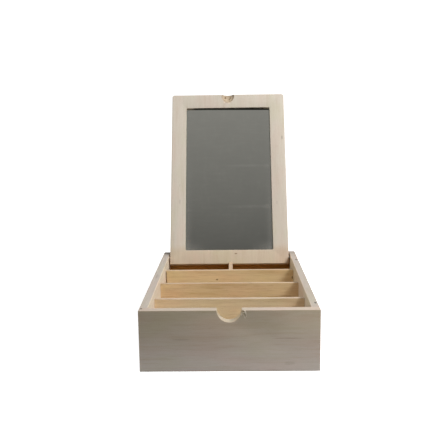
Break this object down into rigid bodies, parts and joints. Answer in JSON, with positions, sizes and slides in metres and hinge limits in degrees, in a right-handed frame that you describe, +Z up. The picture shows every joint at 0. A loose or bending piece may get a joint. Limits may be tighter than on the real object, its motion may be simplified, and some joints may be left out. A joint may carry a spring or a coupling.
{
  "type": "vanity box",
  "caption": "Bare wooden vanity box with open-topped compartments, a finger notch in the front and a mirror let into its pin-hinged lid.",
  "frame": {"origin": "centre of the box's underside", "axes": "+X to the right, +Y to the rear, +Z up; the front panel with the finger notch faces -Y"},
  "size_m": [0.181, 0.3538, 0.2796],
  "materials": {
    "pale_wood": "bare sanded wood",
    "partition_wood": "bare sanded wood, slightly warmer",
    "base_ply": "thin bare plywood",
    "mirror": "silvered float glass",
    "foam_tape": "double-sided mounting tape",
    "steel_pin": "bright drawn wire"
  },
  "bodies": {
    "box": {"front_panel": "pale_wood", "rear_panel": "pale_wood", "left_side_panel": "pale_wood", "right_side_panel": "pale_wood", "bottom_panel": "base_ply", "front_partition": "partition_wood", "middle_partition": "partition_wood", "rear_partition": "partition_wood", "centre_divider": "partition_wood", "left_pivot_pin": "steel_pin", "right_pivot_pin": "steel_pin", "bottom_brads": "steel_pin", "left_side_brads": "steel_pin", "right_side_brads": "steel_pin", "rear_brads": "steel_pin"},
    "lid": {"lid_frame": "pale_wood", "lid_backing": "pale_wood", "mirror_glass": "mirror", "mirror_tape": "foam_tape"}
  },
  "joints": [
    {"name": "lid_hinge", "type": "hinge", "parent": "box", "child": "lid", "pos_m": [0, 0.1152, 0.0595], "axis": [1, 0, 0], "range_deg": [0, 114.5]}
  ]
}
